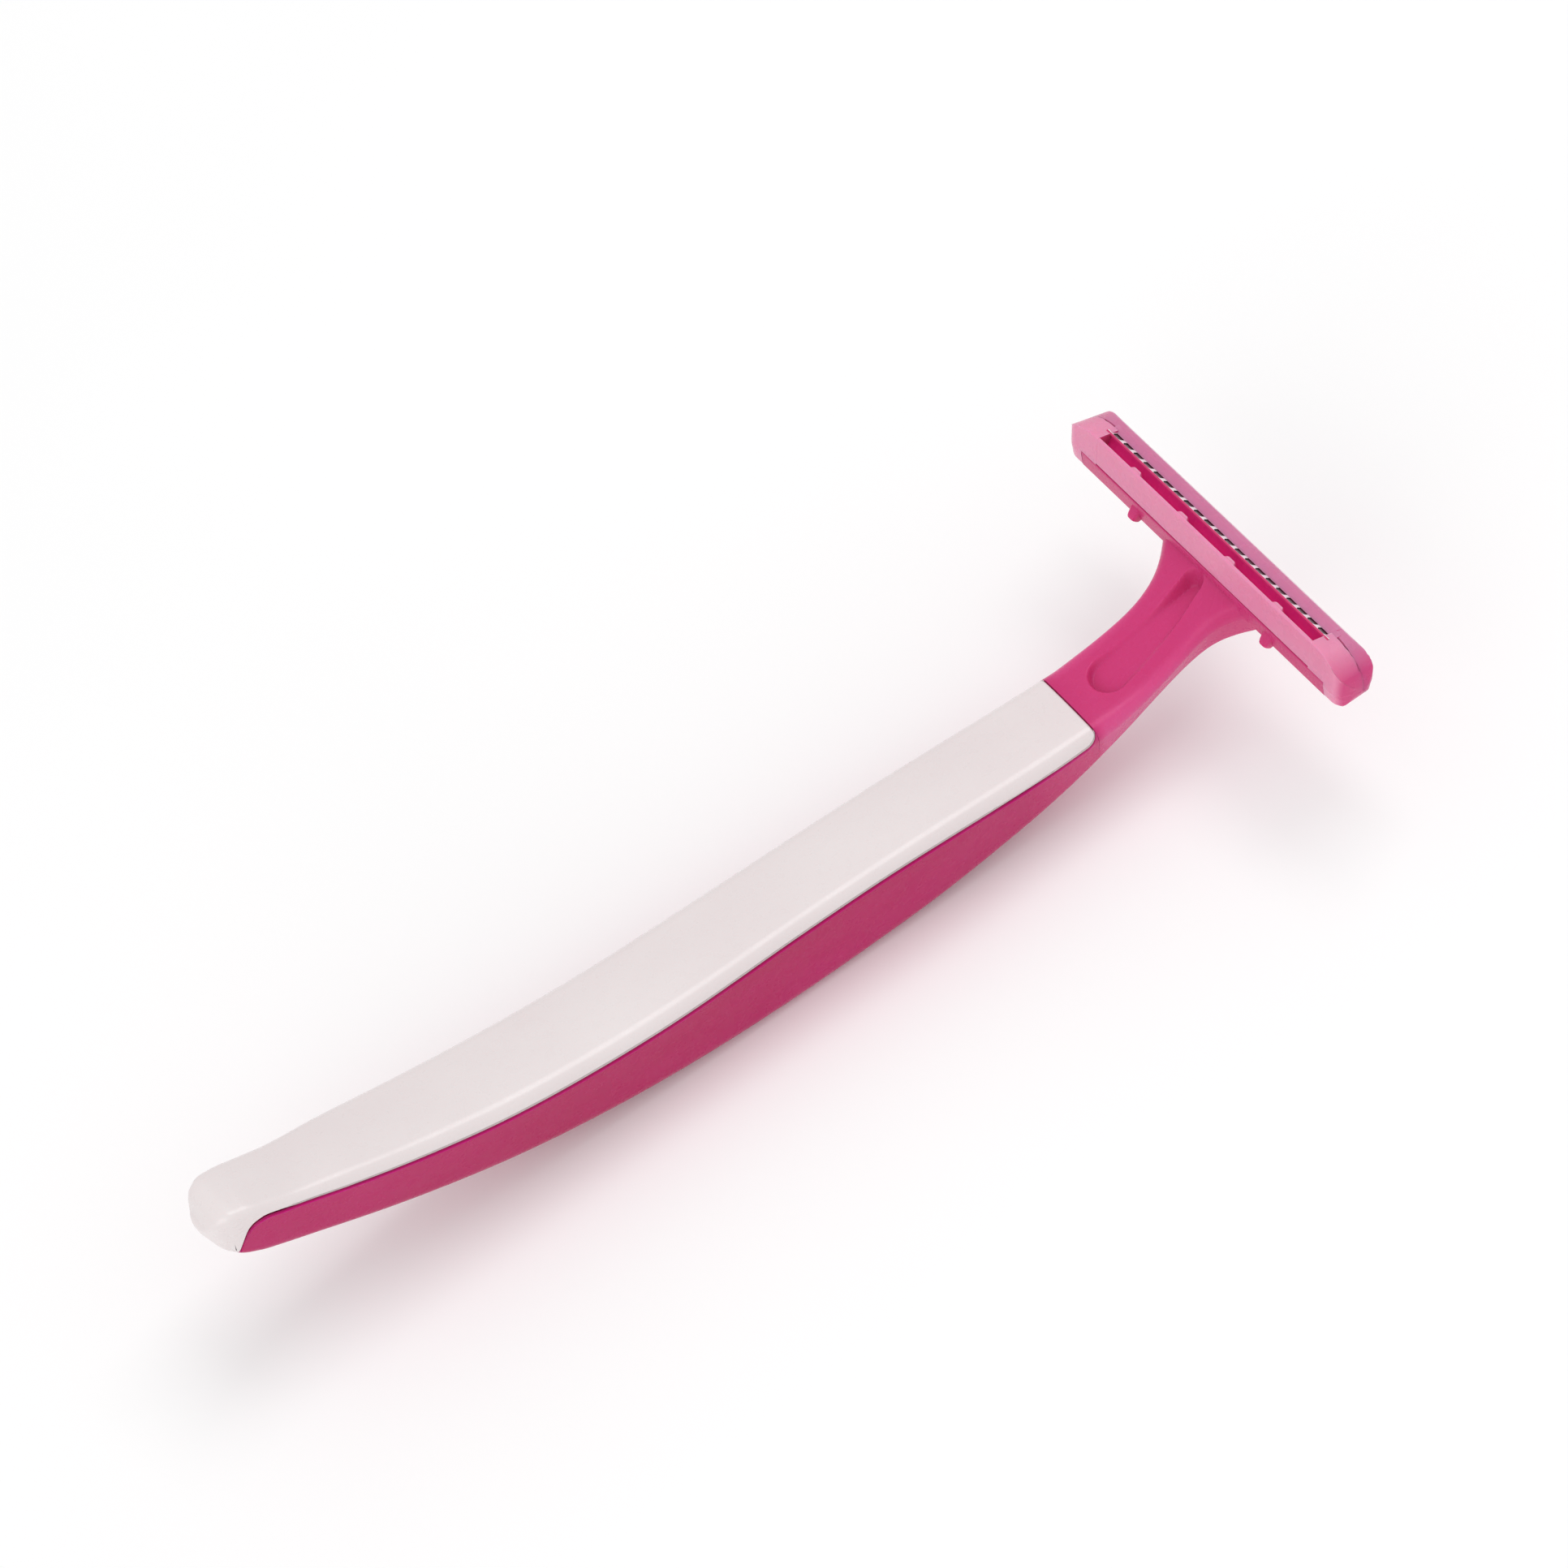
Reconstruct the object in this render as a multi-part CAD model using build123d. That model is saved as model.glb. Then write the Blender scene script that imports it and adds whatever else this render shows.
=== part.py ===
from build123d import *
import math
import os

# Fixed-head razor, in millimetres. Drawing frame: +X from the butt to the head, +Y to the razor's
# left, +Z towards the shaving side, with the middle of the blade guard's windows at z = 0. The
# finished razor is then turned so that it lies on the flat of its belly.

# ---- overall ----
HEAD_X = 117.6            # butt to the row of windows
HEAD_HALF = 21.7          # half the head's length
REST_PITCH = 0.6          # degrees that lift the head when the belly's flat is level

# ---- handle and neck, butt to head: x, top z, bottom z, width ----
HANDLE_STATIONS = [
    (0.0, -0.3, -2.2, 3.2),
    (0.5, 0.6, -3.6, 4.7),
    (1.6, 1.4, -5.2, 6.1),
    (3.6, 1.2, -6.7, 6.9),
    (6.0, 0.3, -7.8, 7.3),
    (9.0, -0.9, -9.0, 7.7),
    (14.0, -2.2, -10.9, 8.7),
    (22.0, -4.4, -13.7, 9.7),
    (30.0, -6.2, -16.1, 10.3),
    (38.0, -7.4, -18.0, 10.45),
    (46.0, -8.1, -19.3, 10.45),
    (54.0, -8.3, -20.1, 10.3),
    (62.0, -8.3, -20.5, 10.0),
    (70.0, -8.4, -20.4, 9.9),
    (78.0, -8.65, -19.95, 9.9),
    (86.0, -9.1, -18.75, 9.9),
    (94.0, -9.5, -16.7, 9.85),
    (102.0, -9.4, -13.4, 9.7),
    (106.0, -8.6, -11.8, 9.2),
]
NECK_STATIONS = [
    HANDLE_STATIONS[-1],
    (110.0, -6.8, -10.6, 8.8),
    (113.0, -4.6, -9.6, 10.0),
    (115.4, -2.7, -8.4, 14.4),
    (118.0, -3.0, -6.4, 22.0),
]
BELLY_TAPER = 0.78        # bottom width over top width
TOP_ROUND = 0.11          # upper corner radius over the section's width
BELLY_ROUND = 0.2         # lower corner radius over the section's smaller side
BELLY_FLAT_DEPTH = 0.08   # how deep the flat cuts into the curve

# ---- grip cover ----
COVER_WALL = 1.1
COVER_CORNER = 1.5        # radius of its lower corner at the neck end
COVERED = HANDLE_STATIONS[2:]
PARTING = [(98.0, -10.8), (94.0, -10.95), (90.0, -10.85), (82.0, -10.25), (74.0, -9.75), (62.0, -9.6),
           (46.0, -9.5), (30.0, -7.6), (14.0, -3.5), (7.0, -1.35), (4.8, -0.8), (3.3, -1.8),
           (2.2, -4.0), (1.2, -6.5)]

# ---- pocket in the neck ----
POCKET_DEEP = (103.0, 2.3)    # x and radius of its deep round end
POCKET_TAIL = (113.6, 1.3)    # x and radius of its shallow tail
POCKET_FLOOR = [(99.0, -11.2), (116.0, -5.0)]

# ---- blade and its guard, seen in the head's section ----
EDGE = (-0.45, 0.38)      # the blade's edge
BLADE_SLOPE = 42.0        # degrees that the blade falls towards the cap
BLADE_WIDTH = 2.6
BLADE_THICK = 0.14
BLADE_BEVEL = 0.35
BLADE_HALF = 17.3
FOIL_THICK = 0.12
FOIL_WIDTH = 2.5
FOIL_REACH = 0.05         # front rail ahead of the edge
FOIL_LIP = 0.1            # how far the front rail is rolled down
WINDOW_COUNT = 23
WINDOW_PITCH = 1.6
WINDOW_SIZE = (1.15, 1.2)
WINDOW_ROUND = 0.3
WINDOW_BACK = 0.58        # middle of a window behind the edge

# ---- head sections, x measured from the row of windows ----
SHAVE_SLOPE = 17.3        # degrees that the shaving plane falls towards the cap
OPENING_HALF = 17.4       # half length of the opening over the blade
PLATFORM_HALF = 19.0
PLATFORM = [(-2.8, -2.45), (-2.85, -4.4), (-2.5, -4.8), (1.5, -4.8), (1.6, -2.45)]
SEAT_FRONT = [(1.5, -3.0), (-1.5, -3.0), (-1.5, -1.3), (-0.5, -0.12)]
SEAT_HALF = 17.2
GUARD_CREST = (-1.9, 0.92)
GUARD_WALL = [GUARD_CREST, (-2.08, 0.8), (-2.75, -2.3), (-1.9, -2.3), (-1.72, 0.6), (-1.76, 0.84)]
END_BLOCK = [GUARD_CREST, (-2.08, 0.8), (-2.75, -2.3), (-2.85, -2.9), (-2.85, -4.3), (-2.6, -4.6),
             (0.56, -4.3), (0.4, -2.0), (0.4, 0.22)]
CAP_BAR = [(0.42, -0.4), (0.6, 0.0), (1.05, 0.06), (1.55, -0.2), (1.92, -0.9), (2.0, -2.0),
           (1.75, -3.2), (1.2, -4.1), (0.58, -4.3), (0.42, -2.0)]
CAP_WALL_X = 1.62         # inner face of the cap's back wall
HEAD_CORNER = 1.0         # corner radius seen from above
HEAD_END_ROUND = 3.4      # radius of the top edge at each end
HEAD_FOOT_ROUND = 1.3     # radius of the bottom edge at each end

# ---- small features ----
LUG_PITCH = 7.4
LUG_SIZE = (0.5, 1.3, 0.9)
LUG_X = -1.6
PEG_Y = 10.4
PEG_BASE = 1.7
PEG_TIP = 1.1
PEG_HEIGHT = 1.9
PEG_ROOT = (-1.9, -3.4)
PEG_TILT = 49.0           # degrees from straight down, towards the handle


def handle_section(x, top, bottom, width, inset=0.0):
    """Tapered section with rounded corners, optionally drawn smaller all round."""
    half = width / 2 - inset
    low_half = width / 2 * BELLY_TAPER - inset
    outline = Polyline((-half, top - inset), (half, top - inset), (low_half, bottom + inset),
                       (-low_half, bottom + inset), close=True)
    height = top - bottom - 2 * inset
    face = make_face(outline)
    face = fillet(face.vertices().group_by(Axis.Y)[-1], min(width, 2 * height) * TOP_ROUND)
    face = fillet(face.vertices().group_by(Axis.Y)[0], min(width, height) * BELLY_ROUND)
    return Plane(origin=(x, 0, 0), x_dir=(0, 1, 0), z_dir=(1, 0, 0)) * face


def lofted(stations, inset=0.0):
    return loft([handle_section(*station, inset) for station in stations])


def side_prism(face, half_width, y=0.0):
    """A face drawn in X and Z, extruded half_width to each side of y."""
    plane = Plane(origin=(0, y, 0), x_dir=(1, 0, 0), z_dir=(0, -1, 0))
    return extrude(plane * face, half_width, both=True)


def head_prism(points, half_width, y=0.0):
    """A head section extruded along the head."""
    shifted = [(HEAD_X + x, z) for x, z in points]
    return side_prism(make_face(Polyline(*shifted, close=True)), half_width, y)


def cover_zone():
    """Everything above the parting line, and all of the butt."""
    start = PARTING[0]
    end = PARTING[-1]
    parting = Spline(*PARTING)
    face = make_face([parting, Polyline(end, (-5, end[1]), (-5, 8), (start[0], 8), start)])
    corner = face.vertices().sort_by_distance((*start, 0))[0]
    return side_prism(fillet(corner, COVER_CORNER), 10)


def grip_cover(spine):
    """Shell over the top of the spine and round its butt."""
    return (spine & cover_zone()) - lofted(COVERED, COVER_WALL)


def pocket():
    """Spoon-shaped pocket: a slot that narrows and runs out towards the head."""
    ends = [Pos(x, 0) * CenterArc((0, 0), radius, 0, 360) for x, radius in (POCKET_DEEP, POCKET_TAIL)]
    slot = extrude(Pos(0, 0, -15) * make_hull(ends), 20)
    above = make_face(Polyline(*POCKET_FLOOR, (116, 5), (99, 5), close=True))
    return slot & side_prism(above, 6)


def peg(side):
    """Truncated pyramid that the blade's travel cover clips to."""
    tilt = math.radians(PEG_TILT)
    root = (HEAD_X + PEG_ROOT[0], side * PEG_Y, PEG_ROOT[1])
    plane = Plane(origin=root, x_dir=(0, 1, 0), z_dir=(-math.sin(tilt), 0, -math.cos(tilt)))
    base = plane * Rectangle(PEG_BASE, PEG_BASE)
    tip = plane.offset(PEG_HEIGHT) * Rectangle(PEG_TIP, PEG_TIP)
    return loft([base, tip])


def behind_edge(back, above):
    """Point in the head's section, so far back from the edge and above the blade's upper face."""
    slope = math.radians(BLADE_SLOPE)
    x = EDGE[0] + back * math.cos(slope) + above * math.sin(slope)
    z = EDGE[1] - back * math.sin(slope) + above * math.cos(slope)
    return (x, z)


def blade():
    """Steel strip with a ground edge."""
    points = [(0, 0), (BLADE_WIDTH, 0), (BLADE_WIDTH, -BLADE_THICK), (BLADE_BEVEL, -BLADE_THICK)]
    return head_prism([behind_edge(*point) for point in points], BLADE_HALF)


def blade_guard():
    """Foil on the blade: a punched row of windows, and a front rail rolled over the edge."""
    front = -FOIL_REACH
    points = [(0, 0), (FOIL_WIDTH, 0), (FOIL_WIDTH, FOIL_THICK), (front, FOIL_THICK),
              (front - FOIL_THICK, 0), (front - FOIL_THICK, -FOIL_LIP), (front, -FOIL_LIP), (front, 0)]
    foil = head_prism([behind_edge(*point) for point in points], BLADE_HALF)
    slope = math.radians(BLADE_SLOPE)
    x, z = behind_edge(WINDOW_BACK, 0)
    face = Plane(origin=(HEAD_X + x, 0, z), x_dir=(0, 1, 0), z_dir=(math.sin(slope), 0, math.cos(slope)))
    for i in range(WINDOW_COUNT):
        y = (i - (WINDOW_COUNT - 1) / 2) * WINDOW_PITCH
        if abs(y) + WINDOW_PITCH / 2 < BLADE_HALF:
            foil -= extrude(face * Pos(y, 0) * RectangleRounded(*WINDOW_SIZE, WINDOW_ROUND), FOIL_THICK * 2, both=True)
    return foil


def handle_core(spine, cover):
    """Curved spine, neck, T-shaped platform, blade seat and pegs in one moulding."""
    seat_top = [behind_edge(0.25, -BLADE_THICK), behind_edge(BLADE_WIDTH, -BLADE_THICK)]
    seat = head_prism([*seat_top, *SEAT_FRONT], SEAT_HALF)
    stem = (spine - cover) + lofted(NECK_STATIONS) - pocket()
    return stem + head_prism(PLATFORM, PLATFORM_HALF) + seat + peg(1) + peg(-1)


def head_envelope():
    """Rounded plan and rounded ends that the head's outer parts are trimmed to."""
    front = END_BLOCK[3][0]
    back = CAP_BAR[5][0]
    plan = RectangleRounded(back - front, 2 * HEAD_HALF, HEAD_CORNER)
    upright = extrude(Pos(HEAD_X + (front + back) / 2, 0, -10) * plan, 15)
    slope = math.radians(SHAVE_SLOPE)
    crest = Plane(origin=(HEAD_X + GUARD_CREST[0], 0, GUARD_CREST[1] + 0.05), x_dir=(0, 1, 0),
                  z_dir=(math.cos(slope), 0, -math.sin(slope)))
    height = 14
    end_view = crest * Pos(0, -height / 2) * RectangleRounded(2 * HEAD_HALF, height, HEAD_END_ROUND)
    foot = Plane(origin=(HEAD_X, 0, PLATFORM[2][1]), x_dir=(0, 1, 0), z_dir=(1, 0, 0))
    foot_view = foot * Pos(0, height / 2) * RectangleRounded(2 * HEAD_HALF, height, HEAD_FOOT_ROUND)
    return upright & extrude(end_view, 12, both=True) & extrude(foot_view, 12, both=True)


def guard_frame(envelope):
    """Guard wall with its lugs, and the two end blocks that close the head."""
    middle = (OPENING_HALF + HEAD_HALF) / 2
    half = (HEAD_HALF - OPENING_HALF) / 2
    frame = head_prism(GUARD_WALL, OPENING_HALF + 1)
    frame += head_prism(END_BLOCK, half, middle)
    frame += head_prism(END_BLOCK, half, -middle)
    low = GUARD_WALL[4][1] - LUG_SIZE[2] / 2
    for place in (-1.5, -0.5, 0.5, 1.5):
        frame += Pos(HEAD_X + LUG_X, place * LUG_PITCH, low) * Box(*LUG_SIZE)
    return (frame & envelope) - head_prism(PLATFORM, PLATFORM_HALF)


def cap_bar(envelope):
    """Cap that closes the back of the head and clamps the blade and its guard."""
    lip = behind_edge(-1.0, FOIL_THICK)
    heel = behind_edge(BLADE_WIDTH + 0.1, FOIL_THICK)
    below = [lip, heel, (CAP_WALL_X, heel[1] - 0.3), (CAP_WALL_X, -6), (-3, -6), (-3, lip[1])]
    return (head_prism(CAP_BAR, HEAD_HALF) & envelope) - head_prism(below, PLATFORM_HALF)


def in_rest_pose(parts):
    """Lay the razor on its belly, centre it and put its lowest point at z = 0."""
    turned = {name: Rot(0, -REST_PITCH, 0) * shape for name, shape in parts.items()}
    core = turned["handle_core"]
    low = core.bounding_box().min.Z + BELLY_FLAT_DEPTH
    turned["handle_core"] = core - Pos(0, 0, low - 50) * Box(400, 100, 100)
    box = turned["handle_core"].bounding_box()
    for shape in turned.values():
        box = box.add(shape.bounding_box())
    move = Pos(-box.center().X, -box.center().Y, -box.min.Z)
    return {name: move * shape for name, shape in turned.items()}


def build():
    spine = lofted(HANDLE_STATIONS)
    cover = grip_cover(spine)
    envelope = head_envelope()
    return in_rest_pose({
        "handle_core": handle_core(spine, cover),
        "grip_cover": cover,
        "guard_frame": guard_frame(envelope),
        "cap_bar": cap_bar(envelope),
        "blade": blade(),
        "blade_guard": blade_guard(),
    })


os.makedirs("parts", exist_ok=True)
for name, shape in build().items():
    export_step(shape, f"parts/{name}.step")
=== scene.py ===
import math

import bmesh
import bpy
import numpy as np
from mathutils import Matrix, Vector


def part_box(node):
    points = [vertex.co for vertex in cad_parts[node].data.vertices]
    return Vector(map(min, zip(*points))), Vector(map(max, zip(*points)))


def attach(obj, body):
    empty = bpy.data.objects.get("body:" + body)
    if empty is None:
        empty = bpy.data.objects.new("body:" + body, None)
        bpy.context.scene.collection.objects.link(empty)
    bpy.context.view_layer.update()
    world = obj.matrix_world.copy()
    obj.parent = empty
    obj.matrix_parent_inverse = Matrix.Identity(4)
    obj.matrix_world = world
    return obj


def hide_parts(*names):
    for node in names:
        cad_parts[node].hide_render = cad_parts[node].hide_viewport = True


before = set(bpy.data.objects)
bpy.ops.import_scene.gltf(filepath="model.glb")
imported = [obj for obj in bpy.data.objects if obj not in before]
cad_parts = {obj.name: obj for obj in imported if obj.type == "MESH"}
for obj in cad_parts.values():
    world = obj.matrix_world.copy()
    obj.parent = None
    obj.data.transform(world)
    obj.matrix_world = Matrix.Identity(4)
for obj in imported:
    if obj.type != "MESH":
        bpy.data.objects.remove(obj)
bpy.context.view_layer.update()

# The meshes are drawn in millimetres in the razor's drawing frame: +X from the butt to the head, +Y to
# the razor's left, +Z towards the shaving side, and z = 0 at the middle of the blade guard's windows.
# TO_ROW then lays them where the CAD model lies. The blade's edge fixes that move.

MM = 0.001
TOUCHING = 0.001
WELD = 0.004
FINE_WELD = 0.002
HEAL_WELD = 0.003
HEAD_X = 117.6
REST_PITCH = math.radians(0.6)
BLADE_EDGE = (-0.45, 0.38)
BLADE_SLOPE = math.radians(42.0)
BLADE_WIDTH = 2.6
BLADE_THICK = 0.14
FOIL_THICK = 0.12

# ---- handle and neck, butt to head: x, top z, bottom z, width ----
STATIONS = [
    (0.0, -0.3, -2.2, 3.2), (0.5, 0.6, -3.6, 4.7), (1.6, 1.4, -5.2, 6.1), (3.6, 1.2, -6.7, 6.9),
    (6.0, 0.3, -7.8, 7.3), (9.0, -0.9, -9.0, 7.7), (14.0, -2.2, -10.9, 8.7), (22.0, -4.4, -13.7, 9.7),
    (30.0, -6.2, -16.1, 10.3), (38.0, -7.4, -18.0, 10.45), (46.0, -8.1, -19.3, 10.45),
    (54.0, -8.3, -20.1, 10.3), (62.0, -8.3, -20.5, 10.0), (70.0, -8.4, -20.4, 9.9),
    (78.0, -8.65, -19.95, 9.9), (86.0, -9.1, -18.75, 9.9), (94.0, -9.5, -16.7, 9.85),
    (102.0, -9.4, -13.4, 9.7), (106.0, -8.6, -11.8, 9.2), (110.0, -6.8, -10.6, 8.8),
    (113.0, -4.6, -9.6, 10.0), (115.4, -2.9, -8.4, 14.4), (118.0, -3.1, -6.4, 22.0),
]
BELLY_TAPER = 0.78
TOP_ROUND = 0.13
BELLY_ROUND = 0.2
TOP_CROWN = 0.1
NOSE_DOME = 0.45
SMOOTHING = 1.2               # the spine's small changes of bend are averaged over this length,
SMOOTHING_STEP = 0.1          # at this spacing,
SMOOTHING_REACH = 30          # over so many places on each side,
SMOOTHING_FADE = (4.0, 5.0)   # from this far from the butt, fading in over this length

# ---- grip cover ----
COVER_END = 98.0
COVER_CORNER = 1.5
COVER_WALL = 1.05
CORE_INSET = 1.15
SEAM_GAP = 0.09
RIM_ROUND = 0.28
LEDGE = 0.4                   # finely divided strip beside a rim
PARTING = [(0.0, -12.0), (1.2, -6.5), (2.2, -4.0), (3.3, -1.8), (4.8, -0.8), (7.0, -1.35), (14.0, -3.5),
           (30.0, -7.6), (46.0, -9.5), (62.0, -9.6), (74.0, -9.75), (82.0, -10.25), (90.0, -10.85),
           (94.0, -10.95), (98.0, -10.8), (100.0, -10.6)]

# ---- pocket in the neck ----
POCKET_DEEP = (103.0, 2.3)
POCKET_TAIL = (113.6, 1.3)
POCKET_FLOOR = [(99.0, -11.2), (116.0, -5.0)]
POCKET_WALL = 0.6
POCKET_MIN_DEPTH = 0.14

# ---- head sections, x measured from the row of windows ----
SHAVE_SLOPE = math.radians(17.3)
HEAD_HALF = 21.7
OPENING_HALF = 17.4
PLATFORM_HALF = 19.0
SEAT_HALF = 17.2
SEAT_BACK = 0.25
HEAD_CORNER = 1.6
HEAD_END_ROUND = (5.0, 3.2)
HEAD_FOOT_ROUND = 1.3
HEAD_RIM_ROUND = 0.7
GUARD_CREST = (-1.9, 0.92)
HEAD_FRONT = -2.85
HEAD_BACK = 2.0
HEAD_FLOOR = -4.8
PLATFORM = [(-2.8, -2.45), (-2.85, -4.4), (-2.5, -4.8), (1.5, -4.8), (1.6, -2.45)]
SEAT_FRONT = [(1.5, -3.0), (-1.5, -3.0), (-1.5, -1.3), (-0.5, -0.12)]
GUARD_WALL = [(-1.89, 0.91), (-2.07, 0.79), (-2.74, -2.3), (-1.9, -2.3), (-1.72, 0.6), (-1.76, 0.83)]
END_BLOCK = [GUARD_CREST, (-2.08, 0.8), (-2.75, -2.3), (-2.85, -2.9), (-2.85, -4.3), (-2.6, -4.6),
             (0.55, -4.3), (0.4, -2.0), (0.4, 0.23)]
CAP_BAR = [(0.42, -0.4), (0.6, 0.0), (1.05, 0.06), (1.55, -0.2), (1.92, -0.9), (2.0, -2.0), (1.75, -3.2),
           (1.2, -4.1), (0.58, -4.3), (0.42, -2.0)]
CAP_LIP = [(0.12, -0.3), (0.12, 0.0), (0.32, 0.07), (0.62, 0.05), (0.95, 0.03), (0.95, -0.3)]
CAP_WALL_X = 1.62
CLEARANCE = [(-3.4, -2.42), (-3.4, -5.4), (1.7, -5.4), (1.7, -2.42)]
PLATFORM_GAP = 0.05
WALL_OVERLAP = 0.8
FOIL_GAP = 0.01
CREST_SOFTNESS = 0.12
LUG_PITCH = 7.4
LUG_PLACES = (-1.5, -0.5, 0.5, 1.5)
LUG_FRONT = -1.85
LUG_DEPTH = 0.5
LUG_BASE = 1.9
LUG_TIP = 0.95
LUG_TOP = 0.72
LUG_FOOT = -0.25
PEG_Y = 10.4
PEG_BASE = 1.7
PEG_TIP = 1.1
PEG_HEIGHT = 1.9
PEG_ROOT = (-1.9, -3.4)
PEG_SIDES = 16
PEG_SQUARENESS = 0.8
PEG_TILT = math.radians(49.0)

# ---- small roundings of the head's edges ----
BLOCK_ROUND = 0.1
WALL_ROUND = 0.06
CAP_ROUND = 0.12
LIP_ROUND = 0.04
PLATFORM_ROUND = 0.12
SEAT_ROUND = 0.05
CUTTER_ROUND = 0.02

# ---- how finely the surfaces are divided: rows are (end, spacing) pairs ----
COVER_ROWS = [(0.0, 0), (1.0, 0.12), (4.0, 0.1), (9.0, 0.25), (90.0, 0.8), (96.0, 0.5), (97.2, 0.1),
              (COVER_END - SEAM_GAP, 0.04)]
STEM_ROWS = [(1.7, 0), (4.0, 0.1), (9.0, 0.3), (90.0, 0.8), (96.0, 0.5), (97.2, 0.12), (COVER_END, 0.04),
             (COVER_END + LEDGE, 0.05), (100.4, 0.25), (115.2, 0.11), (117.2, 0.25)]
NOSE_ROWS = 8
ARC_STEPS = 10
TOP_STEPS = 12
BAR_SPACING = 1.2
OUTLINE_SPACING = 0.35
NEAR_END = [0, 0.01, 0.03, 0.07, 0.13, 0.2, 0.3, *np.linspace(0.4, HEAD_END_ROUND[0], 26)]
TOP_COLUMNS = 34
CORNER_COLUMNS = 8
SIDE_COLUMNS = 16
RIM_COLUMNS = 8
LEDGE_COLUMNS = 5
LOWER_COLUMNS = 12
THIN_COLUMN = 0.01

# ---- places of a plain half outline's corners in its list of points ----
UPPER_START = 1
UPPER_END = UPPER_START + ARC_STEPS
LOWER_START = UPPER_END + 1
LOWER_END = LOWER_START + ARC_STEPS

# ---- camera, light and floor ----
CAMERA_PLACE = (-127.2131, -304.3320, 455.5921)
CAMERA_AIM = (12.5553, 12.0793, 9.0)
CAMERA_ROLL = math.radians(-14.107)
LENS = 134.53
SENSOR = 36.0
CLIP_START = 0.01
KEY_LIGHT = ((0.28, 0.08, 0.8), 0.5, 2.0)      # place in metres, size, power
FILL_LIGHT = ((-0.65, -0.35, 0.4), 0.6, 1.5)
WORLD_STRENGTH = 0.72
FLOOR_HALF = 1.2
SHARP_ANGLE = math.radians(32.0)


# ---------------------------------------------------------------- curves

def smooth_curve(knots):
    """Values along x by cubic Hermite pieces with parabolic tangents."""
    points = np.array(knots, float)
    x = points[:, 0]
    values = points[:, 1:]
    step = np.diff(x)[:, None]
    slope = np.diff(values, axis=0) / step
    inner = (slope[:-1] * step[1:] + slope[1:] * step[:-1]) / (step[1:] + step[:-1])
    tangent = np.vstack([slope[:1], inner, slope[-1:]])

    def at(places):
        places = np.clip(np.asarray(places, float), x[0], x[-1])
        i = np.clip(np.searchsorted(x, places, side="right") - 1, 0, len(x) - 2)
        h = step[i]
        t = ((places - x[i])[:, None]) / h
        return ((1 + 2 * t) * (1 - t) ** 2 * values[i] + t * (1 - t) ** 2 * h * tangent[i]
                + t * t * (3 - 2 * t) * values[i + 1] + t * t * (t - 1) * h * tangent[i + 1])

    return at


def softened(curve, start, end):
    """The same curve with its small changes of bend averaged out, away from the butt."""
    fine = np.arange(start, end + SMOOTHING_STEP / 10, SMOOTHING_STEP)
    values = curve(fine)
    span = SMOOTHING_REACH
    reach = np.arange(-span, span + 1) * SMOOTHING_STEP
    weight = np.exp(-0.5 * (reach / SMOOTHING) ** 2)
    weight /= weight.sum()
    padded = np.vstack([2 * values[:1] - values[span:0:-1], values,
                        2 * values[-1:] - values[-2:-span - 2:-1]])
    mean = np.stack([np.convolve(column, weight, mode="valid") for column in padded.T], axis=1)
    fade_start, fade_length = SMOOTHING_FADE
    blend = np.clip((fine - fade_start) / fade_length, 0, 1)[:, None]
    mixed = values * (1 - blend) + mean * blend
    return lambda x: np.stack([np.interp(x, fine, column) for column in mixed.T], axis=1)


spine_at = softened(smooth_curve(STATIONS), 0.0, 118.0)
parting_at = softened(smooth_curve(PARTING), 0.0, 100.0)


def cover_edge(x):
    """Height of the cover's edge along x, with its rounded corner at the neck end."""
    z = parting_at(x)[:, 0]
    into = np.clip(x - (COVER_END - COVER_CORNER), 0, COVER_CORNER)
    return z + COVER_CORNER - np.sqrt(np.maximum(COVER_CORNER ** 2 - into ** 2, 0))


def corner_arc(before, corner, after, radius, count):
    """Points of the arc that rounds a corner between two straight lines."""
    a = (before - corner) / np.linalg.norm(before - corner)
    b = (after - corner) / np.linalg.norm(after - corner)
    half = math.acos(np.clip(a @ b, -1, 1)) / 2
    shorter = min(np.linalg.norm(before - corner), np.linalg.norm(after - corner))
    radius = min(radius, 0.49 * math.tan(half) * shorter)
    centre = corner + (a + b) / np.linalg.norm(a + b) * radius / math.sin(half)
    start = corner + a * radius / math.tan(half)
    end = corner + b * radius / math.tan(half)
    u = (start - centre) / radius
    v = (end - centre) / radius
    turn = math.acos(np.clip(u @ v, -1, 1))
    steps = np.linspace(0, 1, count + 1)[:, None]
    if turn < 1e-6:
        return start + (end - start) * steps
    return centre + radius * (np.sin((1 - steps) * turn) * u + np.sin(steps * turn) * v) / math.sin(turn)


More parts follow.
